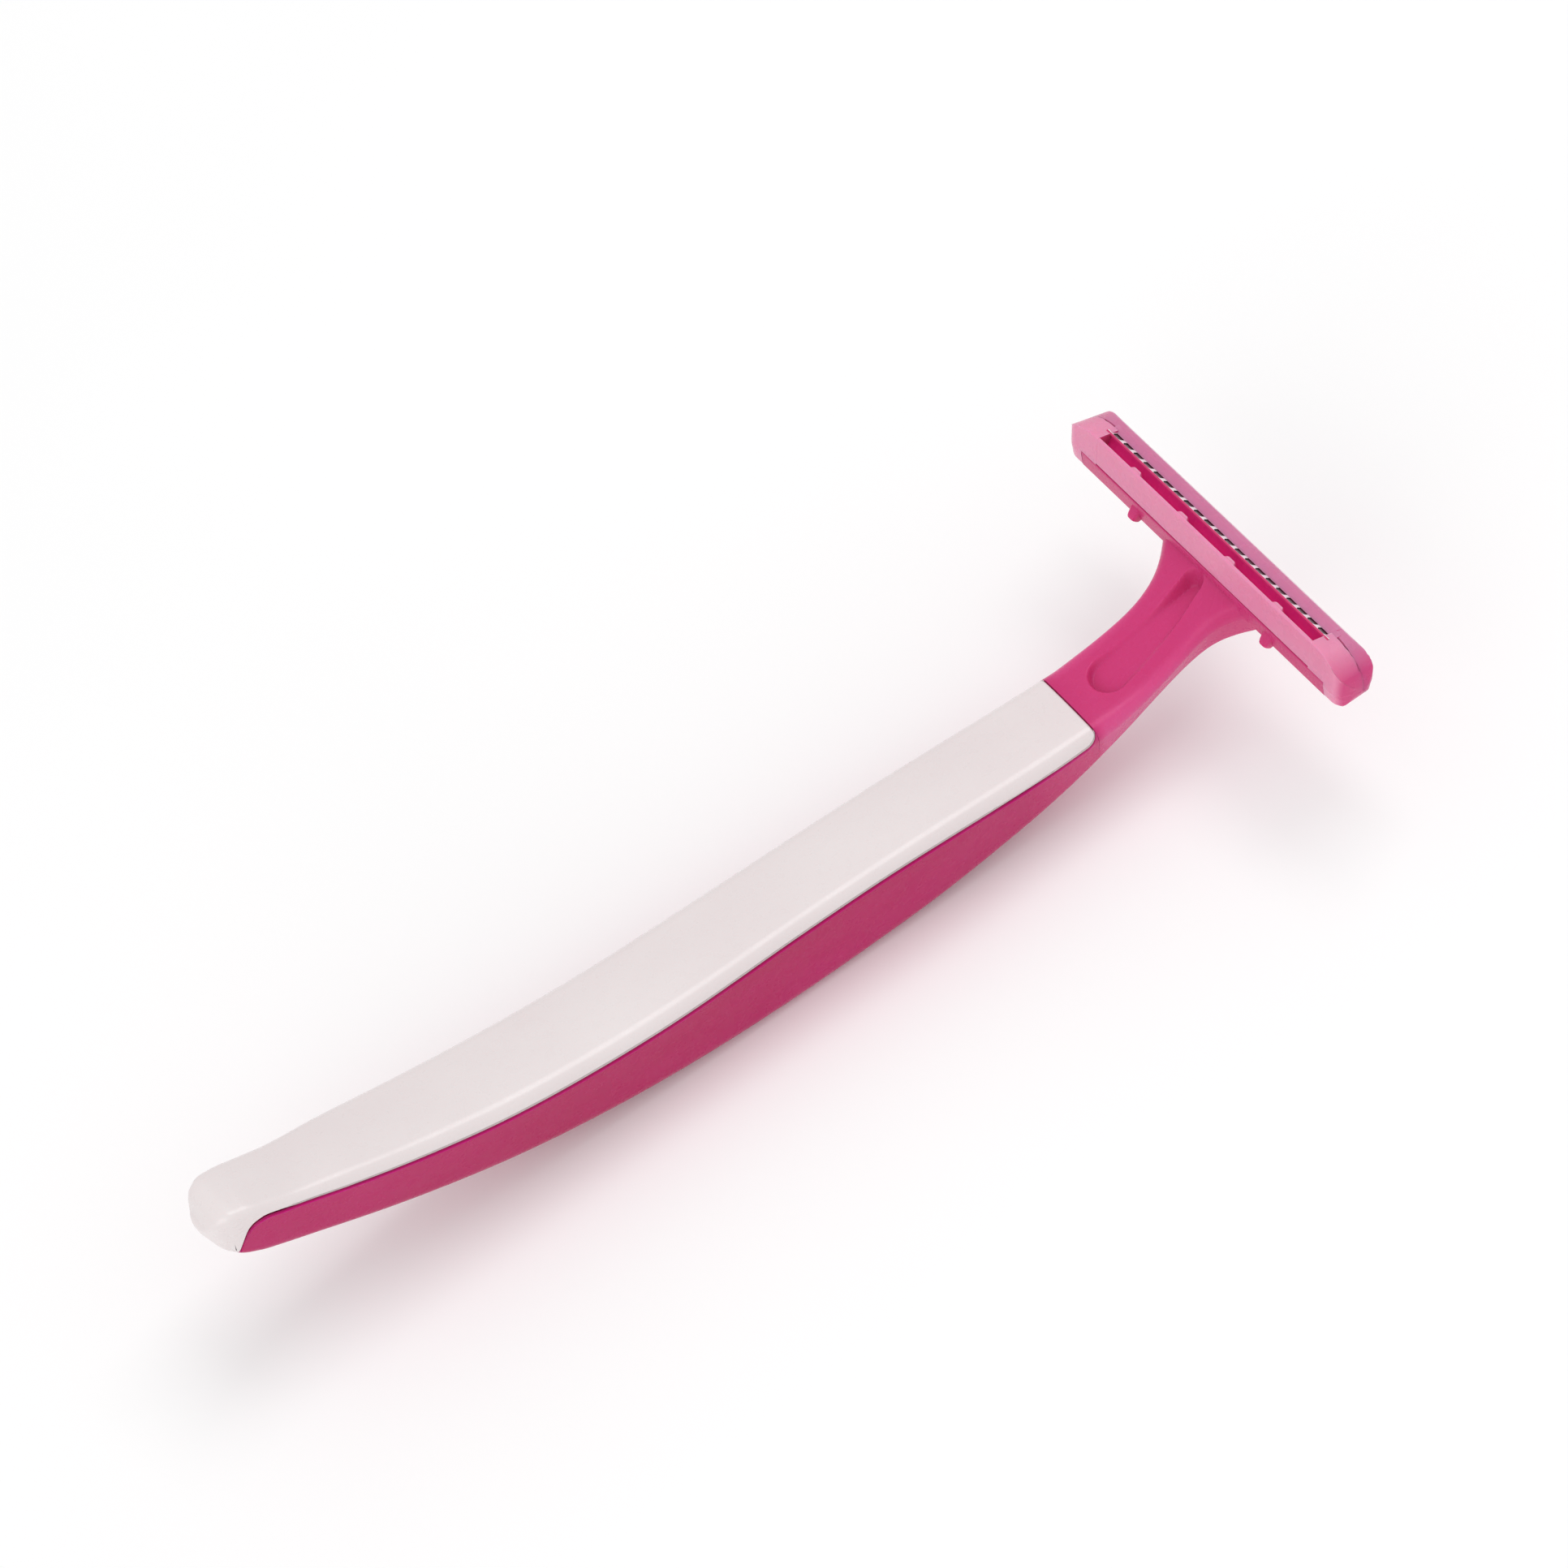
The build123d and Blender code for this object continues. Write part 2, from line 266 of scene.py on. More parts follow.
def half_outline(top, bottom, width, inset=0.0):
    """Half of a spine section, from the middle of its top to the middle of its bottom.

    It gives y, z and the length along the outline at each point, and the lengths at the corners' points.
    """
    half = width / 2 - inset
    low = width / 2 * BELLY_TAPER - inset
    a = np.array([0.0, top - inset])
    b = np.array([half, top - inset])
    c = np.array([low, bottom + inset])
    d = np.array([0.0, bottom + inset])
    height = top - bottom - 2 * inset
    upper = corner_arc(a, b, c, min(width, 2 * height) * TOP_ROUND, ARC_STEPS)
    lower = corner_arc(b, c, d, min(width, height) * BELLY_ROUND, ARC_STEPS)
    points = np.vstack([a, upper, lower, d])
    length = np.concatenate([[0], np.cumsum(np.linalg.norm(np.diff(points, axis=0), axis=1))])
    if inset > 0:
        return points[:, 0], points[:, 1], length, length
    dense = np.linspace(0, length[UPPER_START], TOP_STEPS)[:-1]
    ys = np.concatenate([np.interp(dense, length, points[:, 0]), points[1:, 0]])
    zs = np.concatenate([np.interp(dense, length, points[:, 1]), points[1:, 1]])
    ts = np.concatenate([dense, length[1:]])
    zs = zs + TOP_CROWN * np.clip(1 - (ys / upper[0][0]) ** 2, 0, 1) * (ts <= length[UPPER_START])
    return ys, zs, ts, length


# ---------------------------------------------------------------- mesh making

def new_object(name, mesh):
    thing = bpy.data.objects.new(name, mesh)
    bpy.context.scene.collection.objects.link(thing)
    return thing


def grid_faces(count, width, start=0, flipped=False, ring=False):
    """Quads over rows of equally many points, numbered from start."""
    faces = []
    for i in range(count - 1):
        for j in range(width if ring else width - 1):
            k = (j + 1) % width
            here = start + i * width
            face = (here + j, here + k, here + width + k, here + width + j)
            faces.append(face[::-1] if flipped else face)
    return faces


def grid_mesh(name, rows, close_start=False, close_end=False, ring=False):
    """Mesh over rows of equally many points, with a cap on either end where it is asked for."""
    rows = np.array(rows)
    count, width, _ = rows.shape
    faces = grid_faces(count, width, ring=ring)
    if close_start:
        faces.append(tuple(range(width - 1, -1, -1)))
    if close_end:
        faces.append(tuple((count - 1) * width + j for j in range(width)))
    mesh = bpy.data.meshes.new(name)
    mesh.from_pydata(rows.reshape(-1, 3).tolist(), [], faces)
    mesh.update()
    return mesh


def weld(mesh, distance=WELD):
    """Join points that meet, drop faces without area and face the rest outwards."""
    work = bmesh.new()
    work.from_mesh(mesh)
    bmesh.ops.remove_doubles(work, verts=work.verts, dist=distance)
    bmesh.ops.dissolve_degenerate(work, dist=distance / 4, edges=work.edges)
    bmesh.ops.recalc_face_normals(work, faces=work.faces)
    work.to_mesh(mesh)
    work.free()
    mesh.update()


def apply_modifiers(thing):
    graph = bpy.context.evaluated_depsgraph_get()
    graph.update()
    mesh = bpy.data.meshes.new_from_object(thing.evaluated_get(graph))
    old = thing.data
    thing.modifiers.clear()
    thing.data = mesh
    bpy.data.meshes.remove(old)


def heal(mesh):
    """Close the pinholes and drop the slivers that exact cuts may leave."""
    work = bmesh.new()
    work.from_mesh(mesh)
    bmesh.ops.remove_doubles(work, verts=work.verts, dist=HEAL_WELD)
    bmesh.ops.dissolve_degenerate(work, dist=TOUCHING, edges=work.edges)
    bmesh.ops.holes_fill(work, edges=[edge for edge in work.edges if edge.is_boundary], sides=0)
    bmesh.ops.delete(work, geom=[vert for vert in work.verts if not vert.link_faces], context="VERTS")
    bmesh.ops.recalc_face_normals(work, faces=work.faces)
    work.to_mesh(mesh)
    work.free()
    mesh.update()


def combine(thing, other, operation):
    """Exact union or difference of two closed meshes, leaving only the first object."""
    step = thing.modifiers.new("combine", "BOOLEAN")
    step.operation = operation
    step.solver = "EXACT"
    step.object = other
    apply_modifiers(thing)
    bpy.data.objects.remove(other)


# ---------------------------------------------------------------- the spine's two mouldings

def stretch(start, end, count):
    return np.linspace(start, end, count + 1)[1:]


def spine_rows(edges):
    """Places along x for the rows, from (end, spacing) pairs."""
    places = [edges[0][0]]
    for end, spacing in edges[1:]:
        places.extend(stretch(places[-1], end, max(1, round((end - places[-1]) / spacing))))
    return np.array(places)


def split_length(outline, edge_z):
    """Length along a half outline where the cover's edge crosses it, or all of it if the edge is below."""
    _, zs, ts, _ = outline
    if edge_z <= zs[-1] + TOUCHING:
        return ts[-1]
    below = np.nonzero(zs < edge_z)[0][0]
    z0, z1 = zs[below - 1], zs[below]
    return ts[below - 1] + (ts[below] - ts[below - 1]) * (z0 - edge_z) / (z0 - z1)


def mirrored(ys, zs, x):
    """Full row from one half: the left side reversed, then the right side."""
    left = [(x, y, z) for y, z in zip(ys[::-1], zs[::-1])]
    right = [(x, -y, z) for y, z in zip(ys[1:], zs[1:])]
    return left + right


def rim_drop(distance):
    """How far a rounded rim falls away at a distance from its edge."""
    into = np.clip(RIM_ROUND - distance, 0, RIM_ROUND)
    return RIM_ROUND - np.sqrt(RIM_ROUND ** 2 - into ** 2)


def inward(ys, zs):
    """Unit directions into a half section, for its points from top to bottom."""
    dy = np.gradient(ys)
    dz = np.gradient(zs)
    size = np.hypot(dy, dz) + 1e-12
    return dz / size, -dy / size


def nose_rows(row, count):
    """Rows that close the butt with a shallow dome."""
    row = np.array(row)
    middle = row.mean(axis=0)
    rows = []
    for share in np.linspace(0.02, 0.97, count):
        ring = middle + (row - middle) * share
        ring[:, 0] -= NOSE_DOME * (1 - share ** 2)
        rows.append(ring)
    return rows


def make_cover():
    """Shell over the top of the spine and round its butt, open along its belly side."""
    places = spine_rows(COVER_ROWS)
    outer = []
    inner = []
    for x, (top, bottom, width), edge in zip(places, spine_at(places), cover_edge(places)):
        ys, zs, ts, length = half_outline(top, bottom, width)
        split = split_length((ys, zs, ts, length), edge)
        wrap = split >= ts[-1]
        level = min(length[UPPER_START], split)
        corner = min(length[UPPER_END], split)
        rim = max(split - LEDGE, corner)
        stops = np.concatenate([
            np.linspace(0, level, TOP_COLUMNS + 1), stretch(level, corner, CORNER_COLUMNS),
            stretch(corner, rim, SIDE_COLUMNS), stretch(rim, split, RIM_COLUMNS)])
        y = np.interp(stops, ts, ys)
        z = np.interp(stops, ts, zs)
        drop = rim_drop(COVER_END - SEAM_GAP - x) + (0 if wrap else rim_drop(split - stops))
        into_y, into_z = inward(y, z)
        outer.append(mirrored(y + into_y * drop, z + into_z * drop, x))
        if wrap:
            inner.clear()
            first = len(outer) - 1
        hidden = half_outline(top, bottom, width, COVER_WALL)
        stops = stops * hidden[2][-1] / ts[-1]
        y, z = (np.interp(stops, hidden[2], values) for values in hidden[:2])
        inner.append(mirrored(y, z, x))
    nose = nose_rows(outer[0], NOSE_ROWS)
    first += len(nose)
    outer = nose + outer
    count, width = len(outer), len(outer[0])
    faces = grid_faces(count, width) + grid_faces(len(inner), width, count * width, True)
    for i in range(len(inner) - 1):
        for j in (0, width - 1):
            near = (first + i) * width + j
            deep = (count + i) * width + j
            strip = (near, deep, deep + width, near + width)
            faces.append(strip if j == 0 else strip[::-1])
    for j in range(width - 1):
        near = (count - 1) * width + j
        deep = (count + len(inner) - 1) * width + j
        faces.append((near, near + 1, deep + 1, deep))
    faces.append(tuple(count * width + j for j in range(width)))
    faces.append(tuple(range(width - 1, -1, -1)))
    mesh = bpy.data.meshes.new("grip_cover_shell")
    mesh.from_pydata(np.array(outer + inner).reshape(-1, 3).tolist(), [], faces)
    weld(mesh)
    return new_object("grip_cover_shell", mesh)


def pocket_depth(x, y, top):
    """How far the neck's pocket sinks below the surface."""
    (x0, r0), (x1, r1) = POCKET_DEEP, POCKET_TAIL
    sine = (r0 - r1) / (x1 - x0)
    cosine = math.sqrt(1 - sine * sine)
    along = np.clip((x - x0) - np.abs(y) * sine / cosine, 0, x1 - x0) / (x1 - x0)
    outside = np.hypot(x - x0 - along * (x1 - x0), y) - (r0 + (r1 - r0) * along)
    (fx0, fz0), (fx1, fz1) = POCKET_FLOOR
    floor = fz0 + (x - fx0) * (fz1 - fz0) / (fx1 - fx0)
    depth = np.maximum(top - floor, 0)
    depth = np.sqrt(depth ** 2 + POCKET_MIN_DEPTH ** 2)
    share = np.clip(-outside / POCKET_WALL, 0, 1)
    return depth * share * share * (3 - 2 * share)


def stem_under_cover(outline, hidden, split):
    """Row of the stem where the cover lies on it: sunk below the cover, and full size under its edge."""
    ys, zs, ts, length = outline
    level, corner = min(length[UPPER_START], split), min(length[UPPER_END], split)
    upper = np.concatenate([np.linspace(0, level, TOP_COLUMNS + 1), stretch(level, corner, CORNER_COLUMNS),
                            stretch(corner, split, SIDE_COLUMNS)]) * hidden[2][-1] / ts[-1]
    ledge = min(split + SEAM_GAP, ts[-1])
    base = max(ledge, length[LOWER_START])
    turn = max(ledge, length[LOWER_END])
    strip = min(ledge + LEDGE, base)
    lower = np.concatenate([[ledge], stretch(ledge, strip, LEDGE_COLUMNS), stretch(strip, base, SIDE_COLUMNS),
                            stretch(base, turn, CORNER_COLUMNS), stretch(turn, ts[-1], LOWER_COLUMNS)])
    y, z = (np.concatenate([np.interp(upper, hidden[2], sunk), np.interp(lower, ts, full)])
            for sunk, full in zip(hidden, (ys, zs)))
    drop = np.concatenate([np.zeros(len(upper)), rim_drop(lower - ledge)])
    if ledge >= ts[-1]:
        y[len(upper):] = y[len(upper) - 1]
        z[len(upper):] = z[len(upper) - 1]
        drop[:] = 0
    return y, z, drop


def stem_in_the_open(x, outline, edge):
    """Row of the stem past the cover, with the neck's pocket sunk in its top."""
    ys, zs, ts, length = outline
    middle = (length[UPPER_END] + length[LOWER_START]) / 2
    stops = np.concatenate([
        np.linspace(0, length[UPPER_START], TOP_COLUMNS + 1),
        stretch(length[UPPER_START], length[UPPER_END], CORNER_COLUMNS),
        stretch(length[UPPER_END], middle, SIDE_COLUMNS), [middle + THIN_COLUMN],
        stretch(middle + THIN_COLUMN, length[LOWER_START], LEDGE_COLUMNS + SIDE_COLUMNS),
        stretch(length[LOWER_START], length[LOWER_END], CORNER_COLUMNS),
        stretch(length[LOWER_END], ts[-1], LOWER_COLUMNS)])
    y = np.interp(stops, ts, ys)
    z = np.interp(stops, ts, zs)
    drop = rim_drop(x - COVER_END - SEAM_GAP / 2) * (z > edge)
    return y, z - pocket_depth(x, y, z) * (stops <= length[UPPER_END]), drop


def make_stem():
    """Pink moulding: the belly under the cover, and the neck with its pocket."""
    places = spine_rows(STEM_ROWS)
    rows = []
    for x, section, edge in zip(places, spine_at(places), cover_edge(places)):
        outline = half_outline(*section)
        split = split_length(outline, edge)
        if x <= COVER_END + SEAM_GAP / 2 and split > 0:
            y, z, drop = stem_under_cover(outline, half_outline(*section, CORE_INSET), split)
        else:
            y, z, drop = stem_in_the_open(x, outline, edge)
        into_y, into_z = inward(y, z)
        rows.append(mirrored(y + into_y * drop, z + into_z * drop, x))
    mesh = grid_mesh("stem", rows, close_start=True, close_end=True)
    weld(mesh)
    return new_object("handle_moulding", mesh)


# ---------------------------------------------------------------- the head

def behind_edge(back, above):
    """Point in the head's section, so far back from the blade's edge and above its upper face."""
    x = BLADE_EDGE[0] + back * math.cos(BLADE_SLOPE) + above * math.sin(BLADE_SLOPE)
    z = BLADE_EDGE[1] - back * math.sin(BLADE_SLOPE) + above * math.cos(BLADE_SLOPE)
    return (x, z)


def rounded_polygon(points, radius, count=5):
    """Closed outline with every corner rounded."""
    corners = [np.array(p, float) for p in points]
    outline = []
    for i, corner in enumerate(corners):
        before = corners[i - 1]
        after = corners[(i + 1) % len(corners)]
        outline.extend(corner_arc(before, corner, after, radius, count))
    return np.array(outline)


def divided(outline, spacing):
    """The same outline with its long straight stretches divided."""
    points = []
    for a, b in zip(outline, np.roll(outline, -1, axis=0)):
        parts = max(1, int(np.linalg.norm(b - a) / spacing))
        points.extend(a + (b - a) * k / parts for k in range(parts))
    return np.array(points)


def soft_min(a, b, reach):
    gap = np.clip(0.5 + 0.5 * (b - a) / reach, 0, 1)
    return b + (a - b) * gap - reach * gap * (1 - gap)


def arc_drop(into, reach, fall=None):
    """Fall of an elliptical rounding of that reach, at a distance into it."""
    share = min(max(into / reach, 0), 1)
    return (fall or reach) * (1 - math.sqrt(1 - share * share))


def head_bar(name, section, start, end, radius, ends=(False, False), shaped=True):
    """Section swept along the head, with the head's rounded ends where an end is also the head's."""
    outline = divided(rounded_polygon(section, radius), OUTLINE_SPACING)
    near = np.array(NEAR_END)
    count = max(2, int(abs(end - start) / BAR_SPACING))
    places = set(np.round(np.linspace(start, end, count), 4))
    if ends[0]:
        places |= set(np.round(start + near, 4))
    if ends[1]:
        places |= set(np.round(end - near, 4))
    rows = []
    for y in sorted(places):
        points = rounded_end(outline.copy(), abs(y) - HEAD_HALF) if shaped else outline
        rows.append([(HEAD_X + px, y, pz) for px, pz in points])
    mesh = grid_mesh(name, rows, close_start=True, close_end=True, ring=True)
    weld(mesh, FINE_WELD)
    return new_object(name, mesh)


def rounded_end(points, reach):
    """The section at a place beside the head's end, rounded in end view, from above and round its rim."""
    normal = np.array([math.sin(SHAVE_SLOPE), math.cos(SHAVE_SLOPE)])
    lost = arc_drop(reach + HEAD_END_ROUND[0], *HEAD_END_ROUND)
    height = points @ normal
    crest = np.full(len(height), normal @ np.array(GUARD_CREST) - lost)
    if lost > 0:
        points += (soft_min(height, crest, CREST_SOFTNESS) - height)[:, None] * normal
    foot = arc_drop(reach + HEAD_FOOT_ROUND, HEAD_FOOT_ROUND)
    corner = arc_drop(reach + HEAD_CORNER, HEAD_CORNER)
    rim = arc_drop(reach + HEAD_RIM_ROUND, HEAD_RIM_ROUND)
    centre = (HEAD_FRONT + HEAD_BACK) / 2
    depth = (HEAD_BACK - HEAD_FRONT) / 2
    points[:, 1] = np.maximum(points[:, 1], HEAD_FLOOR + foot)
    points[:, 0] = centre + (points[:, 0] - centre) * (1 - corner / depth)
    middle = np.array([centre, (points[:, 1].max() + points[:, 1].min()) / 2])
    return middle + (points - middle) * (1 - rim / depth)


def cutter(name, section):
    """Plain bar that cuts the platform's room out of another piece."""
    half = PLATFORM_HALF + PLATFORM_GAP
    return head_bar(name, section, -half, half, CUTTER_ROUND, shaped=False)


def make_guard():
    """Guard wall with its lugs and the two end blocks."""
    guard = head_bar("guard_moulding", END_BLOCK, OPENING_HALF, HEAD_HALF, BLOCK_ROUND, (False, True))
    other = head_bar("block", END_BLOCK, -HEAD_HALF, -OPENING_HALF, BLOCK_ROUND, (True, False))
    combine(guard, other, "UNION")
    half = OPENING_HALF + WALL_OVERLAP
    combine(guard, head_bar("wall", GUARD_WALL, -half, half, WALL_ROUND), "UNION")
    for place in LUG_PLACES:
        combine(guard, make_lug(place * LUG_PITCH), "UNION")
    combine(guard, cutter("clearance", CLEARANCE), "DIFFERENCE")
    return guard


def make_lug(y):
    """Small tapered lug on the inner side of the guard wall."""
    front = HEAD_X + LUG_FRONT
    rows = []
    for reach, half, top in ((0, LUG_BASE / 2, LUG_TOP), (0.8, LUG_TIP / 2 + 0.12, LUG_TOP - 0.02),
                             (1, LUG_TIP / 2, LUG_TOP - 0.1)):
        x = front + LUG_DEPTH * reach
        side = [(half, LUG_FOOT), (half * 0.94, top - 0.05), (half * 0.88, top)]
        rows.append([(x, y - half, LUG_FOOT)] + [(x, y + across, z) for across, z in side]
                    + [(x, y - across, z) for across, z in side[:0:-1]])
    mesh = grid_mesh("lug", rows, close_start=True, close_end=True, ring=True)
    weld(mesh, FINE_WELD)
    return new_object("lug", mesh)


def make_cap():
    """Cap along the back of the head, with a thin lip over the foil."""
    cap = head_bar("cap_moulding", CAP_BAR, -HEAD_HALF, HEAD_HALF, CAP_ROUND, (True, True))
    lip = head_bar("lip", CAP_LIP, -OPENING_HALF, OPENING_HALF, LIP_ROUND, shaped=False)
    combine(cap, lip, "UNION")
    front = behind_edge(-1.0, FOIL_THICK + FOIL_GAP)
    heel = behind_edge(BLADE_WIDTH + 0.1, FOIL_THICK + FOIL_GAP)
    below = [front, heel, (CAP_WALL_X, heel[1] - 0.3), (CAP_WALL_X, -6.0), (-3.0, -6.0), (-3.0, front[1])]
    combine(cap, cutter("below", below), "DIFFERENCE")
    return cap


def make_peg(side):
    """Truncated pyramid under the platform."""
    direction = Vector((-math.sin(PEG_TILT), 0, -math.cos(PEG_TILT)))
    across = Vector((math.cos(PEG_TILT), 0, -math.sin(PEG_TILT)))
    root = Vector((HEAD_X + PEG_ROOT[0], side * PEG_Y, PEG_ROOT[1]))
    rows = []
    for reach, size in ((0, PEG_BASE), (0.82, PEG_TIP + 0.14), (0.94, PEG_TIP), (1.0, PEG_TIP - 0.22)):
        ring = []
        for turn in range(PEG_SIDES):
            angle = math.tau * (turn + 0.5) / PEG_SIDES
            square = max(abs(math.cos(angle)), abs(math.sin(angle)))
            radius = 0.5 * size / square ** PEG_SQUARENESS
            point = root + direction * PEG_HEIGHT * reach
            point = point + across * radius * math.cos(angle) + Vector((0, 1, 0)) * radius * math.sin(angle)
            ring.append(tuple(point))
        rows.append(ring)
    mesh = grid_mesh("peg", rows, close_start=True, close_end=True, ring=True)
    weld(mesh, FINE_WELD)
    return new_object("peg", mesh)


def make_handle():
    """Stem, platform, blade seat and pegs as one moulding."""
    handle = make_stem()
    combine(handle, head_bar("platform", PLATFORM, -PLATFORM_HALF, PLATFORM_HALF, PLATFORM_ROUND), "UNION")
    seat = [behind_edge(SEAT_BACK, -BLADE_THICK), behind_edge(BLADE_WIDTH, -BLADE_THICK), *SEAT_FRONT]
    combine(handle, head_bar("seat", seat, -SEAT_HALF, SEAT_HALF, SEAT_ROUND), "UNION")
    for side in (-1, 1):
        combine(handle, make_peg(side), "UNION")
    return handle


# ---------------------------------------------------------------- materials

class Nodes:
    """Short hand for building a node material."""

    def __init__(self, name):
        self.material = bpy.data.materials.new(name)
        self.material.use_nodes = True
        self.tree = self.material.node_tree
        self.shader = self.tree.nodes["Principled BSDF"]
        self.place = self.tree.nodes.new("ShaderNodeTexCoord").outputs["Object"]

    def add(self, kind, **settings):
        node = self.tree.nodes.new("ShaderNode" + kind)
        for key, value in settings.items():
            setattr(node, key, value)
        return node

    def link(self, output, socket):
        self.tree.links.new(output, socket)

    def set(self, **values):
        for key, value in values.items():
            self.shader.inputs[key.replace("_", " ")].default_value = value

    def noise(self, scale, detail=3.0, roughness=0.5, stretch=(1, 1, 1)):
        mapping = self.add("Mapping")
        mapping.inputs["Scale"].default_value = stretch
        self.link(self.place, mapping.inputs["Vector"])
        node = self.add("TexNoise")
        node.inputs["Scale"].default_value = scale
        node.inputs["Detail"].default_value = detail
        node.inputs["Roughness"].default_value = roughness
        self.link(mapping.outputs["Vector"], node.inputs["Vector"])
        return node.outputs["Fac"]

    def span(self, value, low, high, to_low=0.0, to_high=1.0):
        node = self.add("MapRange")
        node.inputs["From Min"].default_value = low
        node.inputs["From Max"].default_value = high
        node.inputs["To Min"].default_value = to_low
        node.inputs["To Max"].default_value = to_high
        self.link(value, node.inputs["Value"])
        return node.outputs["Result"]

    def mix(self, share, first, second, blend="MIX"):
        node = self.add("Mix", data_type="RGBA", blend_type=blend)
        for value, socket in ((share, node.inputs[0]), (first, node.inputs[6]), (second, node.inputs[7])):
            if isinstance(value, tuple):
                socket.default_value = (*value, 1)
            elif isinstance(value, float):
                socket.default_value = value
            else:
                self.link(value, socket)
        return node.outputs[2]

    def math(self, operation, first, second):
        node = self.add("Math", operation=operation)
        for value, socket in ((first, node.inputs[0]), (second, node.inputs[1])):
            if isinstance(value, float):
                socket.default_value = value
            else:
                self.link(value, socket)
        return node.outputs[0]

    def edge(self, low, high):
        """Share of wear on outward edges."""
        return self.span(self.add("NewGeometry").outputs["Pointiness"], low, high)

    def tint(self, share, color):
        """Lay another colour over the base colour."""
        socket = self.shader.inputs["Base Color"]
        self.link(self.mix(share, socket.links[0].from_socket, color), socket)

    def axis(self, name):
        node = self.add("SeparateXYZ")
        self.link(self.place, node.inputs[0])
        return node.outputs[name]

    def along(self, vector, direction):
        """Distance of a vector along a direction."""
        node = self.add("VectorMath", operation="DOT_PRODUCT")
        self.link(vector, node.inputs[0])
        node.inputs[1].default_value = direction
        return node.outputs["Value"]

    def bump(self, height, strength, distance, below=None):
        node = self.add("Bump")
        node.inputs["Strength"].default_value = strength
        node.inputs["Distance"].default_value = distance
        self.link(height, node.inputs["Height"])
        if below is not None:
            self.link(below, node.inputs["Normal"])
        return node.outputs["Normal"]


def white_cover():
    """Glossy off-white plastic with faint clouding, a few dark specks and soft scuffs."""
    m = Nodes("cover_white")
    cloud = m.span(m.noise(110.0, 2.0, 0.5, (0.5, 1, 1)), 0.34, 0.70)
    color = m.mix(cloud, (0.765, 0.690, 0.692), (0.792, 0.726, 0.725))
    fleck = m.span(m.noise(620.0, 2.0), 0.55, 0.80, 0.0, 0.06)
    color = m.mix(fleck, color, (0.71, 0.63, 0.63))
    cells = m.add("TexVoronoi")
    cells.inputs["Scale"].default_value = 120.0
    m.link(m.place, cells.inputs["Vector"])
    rare = m.span(m.noise(95.0, 1.0), 0.66, 0.68)
    speck = m.math("MULTIPLY", m.span(cells.outputs["Distance"], 0.012, 0.022, 1.0, 0.0), rare)
    color = m.mix(speck, color, (0.22, 0.13, 0.14))
    wear = m.edge(0.53, 0.62)
    color = m.mix(m.math("MULTIPLY", wear, 0.15), color, (0.86, 0.83, 0.82))
    m.link(color, m.shader.inputs["Base Color"])
    m.link(m.span(m.noise(900.0, 3.0), 0.3, 0.7, 0.24, 0.36), m.shader.inputs["Roughness"])
    broad = m.bump(m.noise(160.0, 2.0), 0.10, 0.0002)
    m.link(m.bump(m.noise(3200.0, 2.0), 0.03, 0.00003, broad), m.shader.inputs["Normal"])
    m.set(IOR=1.49, Coat_Weight=0.25, Coat_Roughness=0.12, Subsurface_Weight=0.12, Subsurface_Scale=0.001)
    m.shader.inputs["Subsurface Radius"].default_value = (1.0, 0.8, 0.8)
    return m.material


def tinted_plastic(name, deep, mid, pale, scatter, grain=1.0):
    """Translucent tinted plastic with flow streaks, cross ripples and paler worn edges."""
    m = Nodes(name)
    flow = m.span(m.noise(70.0, 3.0, 0.5, (0.35, 1, 1)), 0.34, 0.68)
    color = m.mix(flow, deep, mid)
    haze = m.span(m.noise(180.0, 2.0, 0.5, (0.4, 1, 1)), 0.45, 0.85, 0.0, 0.12)
    color = m.mix(haze, color, pale)
    wear = m.edge(0.525, 0.60)
    color = m.mix(m.math("MULTIPLY", wear, 0.55), color, pale)
    m.link(color, m.shader.inputs["Base Color"])
    m.link(m.span(m.noise(800.0, 3.0), 0.3, 0.7, 0.2, 0.34), m.shader.inputs["Roughness"])
    ripple = m.bump(m.noise(700.0, 2.0, 0.5, (2.2, 0.25, 0.25)), 0.08 * grain, 0.0001)
    m.link(m.bump(m.noise(2600.0, 2.0), 0.03, 0.00003, ripple), m.shader.inputs["Normal"])
    m.set(IOR=1.49, Subsurface_Weight=scatter, Subsurface_Scale=0.0016, Coat_Weight=0.04, Coat_Roughness=0.15)
    m.shader.inputs["Subsurface Radius"].default_value = (1.0, 0.22, 0.45)
    m.shader.inputs["Specular IOR Level"].default_value = 0.3
    m.shader.inputs["Specular Tint"].default_value = (1.0, 0.5, 0.7, 1)
    return m


def steel(name, low, high, roughness, metal=1.0):
    """Thin rolled steel with fine grain along its length."""
    m = Nodes(name)
    grain = m.span(m.noise(2400.0, 4.0, 0.6, (1, 0.06, 1)), 0.3, 0.7)
    color = m.mix(grain, low, high)
    wear = m.edge(0.52, 0.60)
    color = m.mix(m.math("MULTIPLY", wear, 0.4), color, (0.95, 0.93, 0.94))
    m.link(color, m.shader.inputs["Base Color"])
    m.link(m.span(grain, 0.0, 1.0, roughness, roughness + 0.12), m.shader.inputs["Roughness"])
    m.link(m.bump(grain, 0.06, 0.00003), m.shader.inputs["Normal"])
    m.set(Metallic=metal)
    return m


def dress(thing, material):
    thing.data.materials.clear()
    thing.data.materials.append(material)


# ---------------------------------------------------------------- placing

